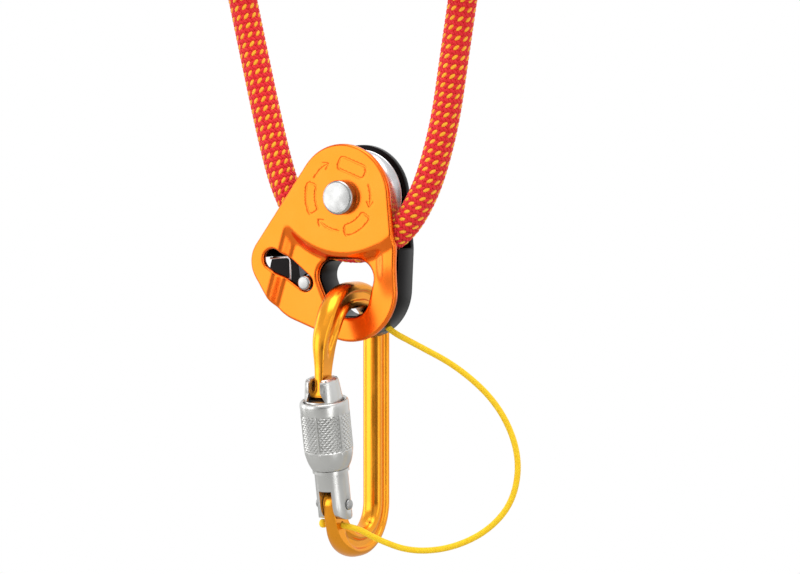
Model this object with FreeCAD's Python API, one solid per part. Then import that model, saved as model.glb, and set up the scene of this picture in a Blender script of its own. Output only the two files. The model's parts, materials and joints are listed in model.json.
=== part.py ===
import FreeCAD, Part
import os
from math import acos, atan2, cos, degrees, hypot, pi, radians, sin, tan

# Progress-capture pulley hung in the bight of a rope, with its locking carabiner and keeper cord.
# Millimetres. X runs across the device, Y from the swinging front plate to the fixed rear body,
# Z is up. The origin is the centre of the sheave.

V = FreeCAD.Vector

# Clearances
move_gap = 0.3        # between bodies that pass each other
fit_gap = 0.05        # running fit, on the radius

# Rope, slack under the sheave
rope_d = 11.0
rope_bend_r = 32.0    # centreline radius of the bend under the sheave
rope_seat_r = 20.0    # from the axle to the rope's centreline at the bottom of the bend

# Sheave and its ball bearing
flange_r = 18.0
sheave_side_gap = 0.5
bearing_bore_r = 4.0
bearing_outer_r = 11.0
race_wall = 1.46      # ring behind the deepest part of the ball track
race_depth = 0.64
race_gap = 0.06
ball_count = 7
shield_t = 0.3
cage_wall = 0.9       # the cage's thickness
cage_end = 0.86       # cage left beyond the ball pockets
washer_r = 6.0

# Side plates
rope_side_gap = 1.1   # from the rope to the raised inner faces
plate_t = 2.4
joggle = 3.6          # how far the lower part of the front plate steps in
rope_relief = 0.9     # round the rope, inside the front plate
body_inset = 0.8      # the rear body's outline lies this far inside the front plate's
outline = [(0, 0, 20.5), (-30, -25.5, 11.3), (-18.6, -31.2, 17.8), (0.8, -34.9, 20.8), (1.6, -20, 20.7)]
body_outline = outline[:1] + [(-30.4, -30.0, 12.4)] + outline[2:]
eye = [(-6.6, -30.7, 6.6), (-1.5, -38.2, 8.2), (1.4, -38.0, 8.2), (4.5, -31.0, 6.9)]
slot = [(-31.5, -24.5, 4.0), (-18.7, -33.5, 3.2)]
crease_top = (-25.4, -12.0)
crease_foot = (-34.0, -40.0)
eye_wall = 2.0        # body wall on the cam's side of the eye
eye_inset = 0.4       # the body's eye lies this far inside the plate's
stop_x, stop_z, stop_r = -37.2, -22.0, 2.1   # pillar that stops the cam

# Axles
head_r = 6.65
head_h = 3.8
head_chamfer = 0.7
tail_r = 6.0
tail_h = 1.6
cam_x, cam_z = -18.7, -33.5
cam_axle_r = 2.0
cam_head_r = 2.8
cam_head_h = 3.2

# Cam, sizes from its pivot
cam_hub_r = 3.6
cam_back_gap = 1.6    # from the cam to the rear body, where its boss stands
cam_face = [(76, 10.2), (96, 11.1), (116, 11.9)]   # (direction in degrees, radius) along the toothed face
tooth_r = 0.9
tooth_h = 1.0
spring_wire_r = 0.4
spring_coil_r = 2.95
spring_turns = 2

# Carabiner, in the plane X = carabiner_x
carabiner_x = -0.6
bar_w = 8.6           # across the plane
bar_h = 10.4          # in the plane
groove_w = 4.6
groove_depth = 1.5
spine_y = 18.2
carabiner_len = 96.2  # between the centrelines of the two bows
bow_sag = 2.8         # the bow's inner side drops this far within the eye's depth
hinge_y = -13.7
hinge_up = 16.9       # of the gate's rivet above the lower bow's centreline
gate_out = 9.1        # how far the gate's tip leans out from its rivet
gate_rise = 47.3
tongue_w = 5.0
tongue_h = 9.6
neck_w = 4.4
neck_h = 8.0
keeper_hole_r = 1.3
keeper_hole = 8.3     # below the gate's rivet, along the bow

# Gate and locking sleeve, sizes along the gate's axis from its rivet
gate_r = 6.5
gate_len = 50.0
fork_r = 5.8
rivet_r = 1.6
rivet_head_r = 2.2
nose_head_w = 7.6
nose_head_h = 2.4
sleeve_base = 14.3
sleeve_len = 27.1
sleeve_wall = 2.4
sleeve_mouth_wall = 0.7
thread_gap = 0.4
sleeve_ring_h = 1.2
sleeve_bevel = 1.2
spring_bore_r = 2.6
spring_bore_len = 26.2
fork_top = 6.4

# Keeper cord
keeper_d = 2.1
keeper_knot_r = 1.7
keeper_knot_len = 2.6

# Sizes that follow
plate_gap = rope_d + 2 * rope_side_gap
sheave_w = plate_gap - 2 * sheave_side_gap
plate_front = -plate_gap / 2 - plate_t
plate_back = -plate_front
recess_front = plate_front + joggle
recess_back = recess_front + plate_t
rope_r = rope_d / 2
bend_z = rope_bend_r - rope_seat_r
joggle_r = rope_bend_r + 0.3 * rope_r
ring_wall = race_wall + race_depth
pitch_r = (bearing_bore_r + bearing_outer_r) / 2
ball_r = (bearing_outer_r - bearing_bore_r) / 2 - race_wall - race_gap
cage_half = ball_r + race_gap + cage_end
bearing_w = 2 * (cage_half + move_gap + shield_t)
cam_front = recess_back + move_gap
cam_back = plate_gap / 2 - cam_back_gap
spring_pitch = 2.4 * spring_wire_r
spring_front = cam_front + spring_wire_r + 0.2
spring_room = spring_front + spring_turns * spring_pitch + spring_wire_r + 0.2   # back of the coil's recess
eye_bottom_z = min(z - r for x, z, r in eye) + eye_inset
bow_top_z = eye_bottom_z + bar_h / 2 + bow_sag
bow_bottom_z = bow_top_z - carabiner_len
hinge_z = bow_bottom_z + hinge_up
hinge = (hinge_y, hinge_z)
gate_tip = (hinge_y - gate_out, hinge_z + gate_rise)
sleeve_bore_r = gate_r + thread_gap
sleeve_r = sleeve_bore_r + sleeve_wall
sleeve_mouth_r = sleeve_bore_r + sleeve_mouth_wall
sleeve_top = sleeve_base + sleeve_len
nose_base = hypot(sleeve_top, sleeve_r - sleeve_bevel) + 0.2   # clear of the lowered sleeve as the gate swings
gate_lean = atan2(hinge[0] - gate_tip[0], gate_tip[1] - hinge[1])


def prism(face_wire, direction):
    return Part.Face(face_wire).extrude(direction)


def belt_wire(circles, y, grow=0.0):
    """Closed outline of a belt round circles (x, z, r) listed anticlockwise from the front."""
    count = len(circles)
    normals = []
    for index, (x, z, r) in enumerate(circles):
        nx, nz, nr = circles[(index + 1) % count]
        turn = atan2(nz - z, nx - x) - acos((r - nr) / hypot(nx - x, nz - z))
        normals.append(turn)
    edges = []
    for index, (x, z, r) in enumerate(circles):
        start, end = normals[index - 1], normals[index]
        while end < start:
            end += 2 * pi
        middle = (start + end) / 2
        radius = r + grow
        ends = [V(x + radius * cos(t), y, z + radius * sin(t)) for t in (start, middle, end)]
        edges.append(Part.Arc(*ends).toShape())
        nx, nz, nr = circles[(index + 1) % count]
        next_radius = nr + grow
        far = V(nx + next_radius * cos(end), y, nz + next_radius * sin(end))
        edges.append(Part.LineSegment(ends[2], far).toShape())
    return Part.Wire(edges)


def belt(circles, y_start, y_end, grow=0.0):
    return prism(belt_wire(circles, y_start, grow), V(0, y_end - y_start, 0))


def cyl_y(x, z, radius, y_start, y_end):
    return Part.makeCylinder(radius, y_end - y_start, V(x, y_start, z), V(0, 1, 0))


def cone_y(x, z, radius_start, radius_end, y_start, y_end):
    return Part.makeCone(radius_start, radius_end, y_end - y_start, V(x, y_start, z), V(0, 1, 0))


def ring_y(outer, inner, y_start, y_end):
    return cyl_y(0, 0, outer, y_start, y_end).cut(cyl_y(0, 0, inner, y_start - 1, y_end + 1))


def bent_path(points, radii=None, mirrored_start=False):
    """Straight runs joined by tangent arcs. A mirrored start is half of a run that a twin completes."""
    edges, found = [], []
    last = points[0]
    for index in range(1, len(points) - 1):
        here = points[index]
        back = points[index - 1] - here
        ahead = points[index + 1] - here
        half_turn = (pi - back.getAngle(ahead)) / 2
        back_run = 2 * back.Length if mirrored_start and index == 1 else back.Length
        radius = radii[index - 1] if radii else 0.45 * min(back_run, ahead.Length) / tan(half_turn)
        trim = radius * tan(half_turn)
        back.normalize()
        ahead.normalize()
        start = here + back * trim
        end = here + ahead * trim
        inward = back + ahead
        inward.normalize()
        middle = here + inward * (radius / cos(half_turn) - radius)
        edges.append(Part.LineSegment(last, start).toShape())
        edges.append(Part.Arc(start, middle, end).toShape())
        last = end
        found.append(round(radius, 1))
    edges.append(Part.LineSegment(last, points[-1]).toShape())
    wire = Part.Wire(edges)
    return wire, found, wire.Length


def tube(name, points, radius, radii=None, mirrored_start=False):
    path, found, length = bent_path(points, radii, mirrored_start)
    direction = points[1] - points[0]
    section = Part.Wire([Part.Circle(points[0], direction, radius).toShape()])
    solid = Part.Solid(path.makePipeShell([section], True, False))
    ratio = solid.Volume / (pi * radius**2 * length)
    print(f"{name}: length {length:.1f}, radii {found}, volume ratio {ratio:.3f}")
    return solid


def joggle_core(radius, y_start, y_end):
    """The raised part's space: a cone round the rope's bend and a wedge left of the crease."""
    depth = y_end - y_start
    cone = cone_y(0, bend_z, radius, radius + depth, y_start, y_end)
    top = V(crease_top[0], 0, crease_top[1])
    along = V(crease_foot[0], 0, crease_foot[1]) - top
    along.normalize()
    across = V(-along.z, 0, along.x)
    reach = 60.0
    base = top - along * reach
    corners = [base - across * reach + V(0, y_start, 0), base + V(0, y_start, 0),
               base + across * depth + V(0, y_end, 0), base - across * reach + V(0, y_end, 0)]
    wedge = prism(Part.makePolygon(corners + corners[:1]), along * (2 * reach + 30))
    return cone.fuse(wedge)


def front_side_plate():
    block = belt(outline, plate_front, recess_back)
    slab = belt(outline, recess_front, recess_back, 1.0)
    raised = joggle_core(joggle_r, plate_front, recess_back)
    hollow = joggle_core(joggle_r, plate_front + plate_t, recess_back + plate_t)
    plate = block.common(slab.fuse(raised)).cut(hollow)
    tools = [belt(eye, plate_front - 1, recess_back + 1), belt(slot, plate_front - 1, recess_back + 1),
             cyl_y(0, 0, bearing_bore_r + fit_gap, plate_front - 1, recess_back + 1),
             Part.makeTorus(rope_bend_r, rope_r + rope_relief, V(0, 0, bend_z), V(0, 1, 0))]
    return plate.cut(Part.makeCompound(tools))


def rear_body():
    plate = belt(body_outline, plate_gap / 2, plate_back, -body_inset)
    wall_front = recess_back + move_gap
    block = belt(outline, wall_front, plate_back, -body_inset)
    reach = 80.0
    half = Part.makeBox(reach, reach, reach, V(-6, -reach / 2, -reach - 10))
    wall = belt(eye, wall_front - 1, plate_back + 1, eye_wall).fuse(half)
    channel = cyl_y(0, bend_z, rope_bend_r + rope_r + 2 * move_gap, wall_front - 1, plate_gap / 2)
    block = block.common(wall).cut(channel)
    block = block.cut(cyl_y(cam_x, cam_z, cam_hub_r + move_gap, wall_front - 1, plate_gap / 2))
    boss = cyl_y(cam_x, cam_z, cam_hub_r - 0.2, cam_back + move_gap, plate_back)
    stop = cyl_y(stop_x, stop_z, stop_r, -plate_gap / 2 + move_gap, plate_back)
    body = plate.fuse([block, boss, stop])
    body = body.cut(belt(eye, wall_front - 1, plate_back + 1, -eye_inset))
    body = body.cut(cyl_y(0, 0, bearing_bore_r, 0, plate_back + 1))
    body = body.cut(cyl_y(cam_x, cam_z, cam_axle_r, 0, plate_back + 1))
    anchor = Part.makeCylinder(keeper_hole_r, 20, keeper_points[0], keeper_points[1] - keeper_points[0])
    return body.cut(anchor).removeSplitter()


def axle():
    shank = cyl_y(0, 0, bearing_bore_r, plate_front - head_h / 2, plate_back + tail_h / 2)
    head_base = plate_front - 0.1
    head = cyl_y(0, 0, head_r, head_base - head_h + head_chamfer, head_base)
    bevel = cone_y(0, 0, head_r - head_chamfer, head_r, head_base - head_h, head_base - head_h + head_chamfer)
    tail = cone_y(0, 0, tail_r, tail_r - 1.2, plate_back, plate_back + tail_h)
    return shank.fuse([head, bevel, tail]).removeSplitter()


def axle_washers():
    front = ring_y(washer_r, bearing_bore_r + fit_gap, -plate_gap / 2 + 0.02, -bearing_w / 2)
    back = ring_y(washer_r, bearing_bore_r + fit_gap, bearing_w / 2, plate_gap / 2)
    return Part.makeCompound([front, back])


def sheave():
    half = sheave_w / 2
    solid = cyl_y(0, 0, flange_r, -half, half)
    groove = Part.makeTorus(rope_seat_r, rope_r + move_gap, V(0, 0, 0), V(0, 1, 0))
    solid = solid.cut(groove).cut(cyl_y(0, 0, bearing_outer_r, -half - 1, half + 1))
    return solid


def bearing_ring(inner, outer):
    ring = ring_y(outer, inner, -bearing_w / 2, bearing_w / 2)
    track = Part.makeTorus(pitch_r, ball_r + race_gap, V(0, 0, 0), V(0, 1, 0))
    return ring.cut(track)


def ball_centres():
    for index in range(ball_count):
        angle = 2 * pi * index / ball_count
        yield V(pitch_r * cos(angle), 0, pitch_r * sin(angle))


def bearing_balls():
    return Part.makeCompound([Part.makeSphere(ball_r, centre) for centre in ball_centres()])


def bearing_cage():
    cage = ring_y(pitch_r + cage_wall / 2, pitch_r - cage_wall / 2, -cage_half, cage_half)
    pockets = [Part.makeSphere(ball_r + race_gap, centre) for centre in ball_centres()]
    return cage.cut(Part.makeCompound(pockets))


def bearing_shields():
    inner = bearing_bore_r + ring_wall + 0.4
    outer = bearing_outer_r - ring_wall
    back = bearing_w / 2
    return Part.makeCompound([ring_y(outer, inner, -back, -back + shield_t),
                              ring_y(outer, inner, back - shield_t, back)])


def cam_point(direction, radius, y):
    return V(cam_x + radius * cos(radians(direction)), y, cam_z + radius * sin(radians(direction)))


def cam():
    hub = cyl_y(cam_x, cam_z, cam_hub_r, cam_front, cam_back)
    face = [cam_point(direction, radius, cam_front) for direction, radius in cam_face]
    right = cam_point(50, cam_hub_r - 0.3, cam_front)
    left = cam_point(185, cam_hub_r - 0.2, cam_front)
    edges = [Part.Arc(*face).toShape()]
    for start, end in ((face[-1], left), (left, right), (right, face[0])):
        edges.append(Part.LineSegment(start, end).toShape())
    head = prism(Part.Wire(edges), V(0, cam_back - cam_front, 0))
    solid = hub.fuse(head)
    coil_room = cyl_y(cam_x, cam_z, spring_coil_r + spring_wire_r + 0.3, cam_front - 1, spring_room)
    solid = solid.cut(coil_room).cut(cyl_y(cam_x, cam_z, cam_axle_r + fit_gap, cam_front - 1, cam_back + 1))
    teeth = []
    first, last = cam_face[0], cam_face[-1]
    rows = 5
    for row in range(rows):
        share = (row + 0.5) / rows
        direction = first[0] + share * (last[0] - first[0])
        radius = first[1] + share * (last[1] - first[1])
        for column in range(3 - row % 2):
            y = (cam_front + cam_back) / 2 + (column - (2 - row % 2) / 2) * 2.4
            base = cam_point(direction, radius - 0.3, y)
            outward = cam_point(direction, 1, 0) - cam_point(direction, 0, 0)
            teeth.append(Part.makeCone(tooth_r, 0.2, tooth_h, base, outward))
    return solid.fuse(teeth).removeSplitter()


def cam_axle():
    shank = cyl_y(cam_x, cam_z, cam_axle_r, recess_back, plate_back)
    head = cyl_y(cam_x, cam_z, cam_head_r, recess_back - cam_head_h, recess_back + 0.1)
    bevel = cone_y(cam_x, cam_z, cam_head_r - 0.5, cam_head_r, recess_back - cam_head_h - 0.5,
                   recess_back - cam_head_h)
    return shank.fuse([head, bevel]).removeSplitter()


def coil(axis_point, direction, radius, wire_r, pitch, turns):
    """A spring coil starting at axis_point and rising along direction."""
    helix = Part.makeHelix(pitch, pitch * turns, radius)
    section = Part.Wire([Part.Circle(V(radius, 0, 0), V(0, 1, pitch / (2 * pi * radius)), wire_r).toShape()])
    spring = Part.Solid(Part.Wire(helix).makePipeShell([section], True, True))
    spring.Placement = FreeCAD.Placement(axis_point, FreeCAD.Rotation(V(0, 0, 1), direction))
    return spring


def cam_spring():
    """Turns round the cam's axle, back to front, then a leg across the keyhole."""
    steps = 8
    corner_r = spring_coil_r / cos(pi / steps)
    corners = spring_turns * steps
    points = []
    for index in range(corners):
        left = corners - 1 - index
        angle = 1.5 * pi + pi / steps + 2 * pi * left / steps
        y = spring_front + spring_pitch * left / steps
        points.append(V(cam_x + corner_r * cos(angle), y, cam_z + corner_r * sin(angle)))
    points += [V(cam_x - 8.2, spring_front, cam_z - spring_coil_r), V(cam_x - 8.6, spring_front, cam_z + 9.6),
               V(stop_x + 0.8, spring_front, stop_z - stop_r - spring_wire_r - 0.15)]
    radii = [0.98 * spring_coil_r] * (corners - 1) + [1.6, 1.6]
    return tube("cam_spring", points, spring_wire_r, radii)


def bar_section(start, along, across):
    """H section: along is the sweep direction, across lies in the carabiner's plane."""
    x, w, h = bar_w / 2, groove_w / 2, bar_h / 2
    side = V(1, 0, 0)
    corner = 1.9
    shape = [(x - groove_depth, -w + 0.5), (x, -w), (x, -h + corner), (x - corner, -h)]
    half = shape + [(-a, b) for a, b in reversed(shape)]
    loop = half + [(-a, -b) for a, b in half]
    points = [start + side * a + across * b for a, b in loop]
    return Part.makePolygon(points + points[:1])


def bow_points():
    y, z = gate_tip
    corners = [(y + 0.9, z + 3.5), (y + 1.8, bow_top_z - 15.6), (y + 10.3, bow_top_z), (spine_y, bow_top_z),
               (spine_y, bow_bottom_z), (hinge_y + 5.9, bow_bottom_z)]
    return [V(carabiner_x, a, b) for a, b in corners] + [gate_frame(0, 0, -fork_r - move_gap)]


def gate_frame(side, out, up):
    """A point given along the gate's own directions from its rivet."""
    lean_out = V(0, -cos(gate_lean), -sin(gate_lean))
    lean_up = V(0, -sin(gate_lean), cos(gate_lean))
    return V(carabiner_x + side, hinge[0], hinge[1]) + lean_out * out + lean_up * up


def in_gate_frame(shape):
    """Moves a shape modelled upright at the origin (Y inward, Z up) onto the gate's axis."""
    shape = shape.copy()
    shape.rotate(V(0, 0, 0), V(1, 0, 0), degrees(gate_lean))
    shape.translate(V(carabiner_x, hinge[0], hinge[1]))
    return shape


def box_at(width, depth, height, x, y, z):
    """Box centred on x and y, standing on z."""
    return Part.makeBox(width, depth, height, V(x - width / 2, y - depth / 2, z))


def carabiner_frame():
    points = bow_points()
    path, found, length = bent_path(points, [18.0, 16.5, 16.0, 15.0, 13.5])
    print(f"carabiner bar: length {length:.1f}, radii {found}")
    along = points[1] - points[0]
    along.normalize()
    across = V(0, along.z, -along.y)
    bar = Part.Solid(path.makePipeShell([bar_section(points[0], along, across)], True, False))
    top = gate_len + 1.0
    neck = in_gate_frame(box_at(neck_w, neck_h, top - nose_base + 6, 0, 0, nose_base))
    nose = in_gate_frame(box_at(nose_head_w, neck_h, nose_head_h, 0, 0, nose_base))
    tongue = in_gate_frame(Part.makeCylinder(tongue_h / 2, tongue_w, V(-tongue_w / 2, 0, 0), V(1, 0, 0)))
    tongue = tongue.fuse(in_gate_frame(box_at(tongue_w, tongue_h, fork_r + 3, 0, 0, -fork_r - 3)))
    frame = bar.fuse([neck, nose, tongue])
    frame = frame.cut(rivet_hole(fit_gap))
    hole = gate_frame(-bar_w, 0, -keeper_hole)
    return frame.cut(Part.makeCylinder(keeper_hole_r, 2 * bar_w, hole, V(1, 0, 0))).removeSplitter()


def rivet_hole(gap):
    start = gate_frame(-10, 0, 0)
    return Part.makeCylinder(rivet_r + gap, 20, start, V(1, 0, 0))


def gate_rivet():
    half = gate_r + 0.1
    shank = Part.makeCylinder(rivet_r, 2 * half, gate_frame(-half, 0, 0), V(1, 0, 0))
    heads = [Part.makeCone(rivet_head_r, rivet_head_r - 0.5, 0.7, gate_frame(half, 0, 0), V(1, 0, 0)),
             Part.makeCone(rivet_head_r, rivet_head_r - 0.5, 0.7, gate_frame(-half, 0, 0), V(-1, 0, 0))]
    return shank.fuse(heads)


def gate_barrel():
    barrel = Part.makeCylinder(gate_r, gate_len, V(0, 0, 0))
    bevel = Part.makeCone(gate_r + 4, gate_r - 1.6, 5, V(0, 0, gate_len - 5))
    top = Part.makeCylinder(gate_r, gate_len - 5).fuse(bevel)
    barrel = barrel.common(top)
    end = Part.makeCylinder(fork_r, 2 * gate_r, V(-gate_r, 0, 0), V(1, 0, 0))
    barrel = barrel.fuse(end.common(Part.makeCylinder(gate_r, 2 * gate_r, V(0, 0, -gate_r))))
    tools = [box_at(tongue_w + 0.4, 4 * gate_r, fork_r + fork_top, 0, 0, -fork_r),
             Part.makeCylinder(spring_bore_r, spring_bore_len, V(0, 0, fork_top - 1)),
             box_at(neck_w + 0.7, 4 * gate_r, 20, 0, 0, nose_base),
             box_at(nose_head_w + 0.7, 4 * gate_r, nose_head_h + 1.0, 0, 0, nose_base - 0.5)]
    barrel = barrel.cut(Part.makeCompound(tools))
    return in_gate_frame(barrel).cut(rivet_hole(fit_gap)).removeSplitter()


def gate_plunger():
    base = tongue_h / 2 + move_gap
    body = Part.makeCylinder(spring_bore_r - 0.1, 9, V(0, 0, base + 1.5))
    tip = Part.makeCone(1.4, spring_bore_r - 0.1, 1.5, V(0, 0, base))
    return in_gate_frame(body.fuse(tip))


def gate_spring():
    wire = 0.35
    base = tongue_h / 2 + move_gap + 10.5 + wire
    length = fork_top - 1 + spring_bore_len - wire - base
    turns = 6
    spring = coil(V(0, 0, base), V(0, 0, 1), spring_bore_r - wire - 0.2, wire, length / turns, turns)
    return in_gate_frame(spring)


def sleeve_ring():
    outer = Part.makeCylinder(sleeve_mouth_r - 0.5, sleeve_ring_h, V(0, 0, sleeve_base - sleeve_ring_h))
    return in_gate_frame(outer.cut(Part.makeCylinder(gate_r + fit_gap, 10, V(0, 0, sleeve_base - 5))))


def locking_sleeve():
    top = sleeve_top
    profile = [(sleeve_mouth_r - 0.4, sleeve_base), (sleeve_mouth_r + 0.4, sleeve_base + 1.6),
               (sleeve_r - 0.6, sleeve_base + 4.6), (sleeve_r - 0.1, sleeve_base + 7.5), (sleeve_r, top - 3.0),
               (sleeve_r - 0.2, top - sleeve_bevel), (sleeve_r - sleeve_bevel, top), (sleeve_bore_r, top),
               (sleeve_bore_r, sleeve_base)]
    corners = [V(r, 0, z) for r, z in profile]
    face = Part.Face(Part.makePolygon(corners + corners[:1]))
    return in_gate_frame(face.revolve(V(0, 0, 0), V(0, 0, 1), 360))


# Keeper cord: from the rear body's lower right corner, round to the hole under the gate's rivet
keeper_points = [V(9.2, 2.4, -46.4), V(13.6, 3.4, -51.2), V(22.4, 7.4, -56.2), V(38.2, 15.4, -65.6),
                 V(52.0, 22.0, -80.0), V(59.2, 25.2, -98.6), V(57.9, 23.4, -116.0), V(50.1, 17.9, -127.8),
                 V(38.0, 9.8, -134.8), V(25.0, 1.0, -136.0), V(14.5, -7.0, -131.0), V(6.6, -12.1, -125.5)]


def keeper_end():
    return gate_frame(-bar_w / 2 - move_gap, 0, -keeper_hole)


def keeper_cord():
    return tube("keeper_cord", keeper_points + [keeper_end()], keeper_d / 2)


def keeper_knot():
    knot = Part.makeCylinder(keeper_knot_r, keeper_knot_len, keeper_end(), V(-1, 0, 0))
    return knot.makeFillet(1.0, knot.Edges[:1] + knot.Edges[2:3])


# Rope legs: from the middle of the bight up to the stopper knots
rope_left_points = [V(0, 0, -20.0), V(-8.0, 0, -20.0), V(-22.1, 0, -12.5), V(-29.7, 0, 0.4), V(-33.8, 0, 11.0),
                    V(-38.9, 0, 29.5), V(-44.9, 0, 54.0), V(-50.8, 0, 78.5)]
rope_right_points = [V(0, 0, -20.0), V(8.0, 0, -20.0), V(22.1, 0, -12.5), V(30.8, 0, 0.7), V(35.9, 0, 13.5),
                     V(40.8, 0, 31.5), V(44.3, 0, 54.0), V(48.4, 0, 78.5)]
knot_r = 15.5
knot_len = 33.0


def rope_leg(name, points):
    return tube(name, points, rope_r, mirrored_start=True)


def rope_knot(points):
    along = points[-1] - points[-2]
    along.normalize()
    knot = Part.makeCylinder(knot_r, knot_len, points[-1], along)
    round_edges = [edge for edge in knot.Edges if edge.Curve.TypeId == "Part::GeomCircle"]
    return knot.makeFillet(5.0, round_edges)


parts = {
    "front_side_plate": front_side_plate,
    "rear_body": rear_body,
    "axle": axle,
    "axle_washers": axle_washers,
    "sheave": sheave,
    "bearing_inner_ring": lambda: bearing_ring(bearing_bore_r, bearing_bore_r + ring_wall),
    "bearing_outer_ring": lambda: bearing_ring(bearing_outer_r - ring_wall, bearing_outer_r),
    "bearing_balls": bearing_balls,
    "bearing_cage": bearing_cage,
    "bearing_shields": bearing_shields,
    "cam": cam,
    "cam_axle": cam_axle,
    "cam_spring": cam_spring,
    "carabiner_frame": carabiner_frame,
    "gate_rivet": gate_rivet,
    "gate_barrel": gate_barrel,
    "gate_plunger": gate_plunger,
    "gate_spring": gate_spring,
    "sleeve_ring": sleeve_ring,
    "locking_sleeve": locking_sleeve,
    "keeper_cord": keeper_cord,
    "keeper_knot": keeper_knot,
    "rope_left": lambda: rope_leg("rope_left", rope_left_points),
    "rope_right": lambda: rope_leg("rope_right", rope_right_points),
    "rope_knot_left": lambda: rope_knot(rope_left_points),
    "rope_knot_right": lambda: rope_knot(rope_right_points),
}

os.makedirs("parts", exist_ok=True)
for name, make in parts.items():
    shape = make()
    print(f"{name}: {len(shape.Solids)} solid(s), {shape.Volume:.0f} mm3, valid {shape.isValid()}")
    shape.exportStep(f"parts/{name}.step")
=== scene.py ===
import bpy
import bmesh
import json
from math import acos, atan2, cos, hypot, pi, radians, sin, tan
import numpy as np
from mathutils import Matrix, Vector
from mathutils.geometry import delaunay_2d_cdt

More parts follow.
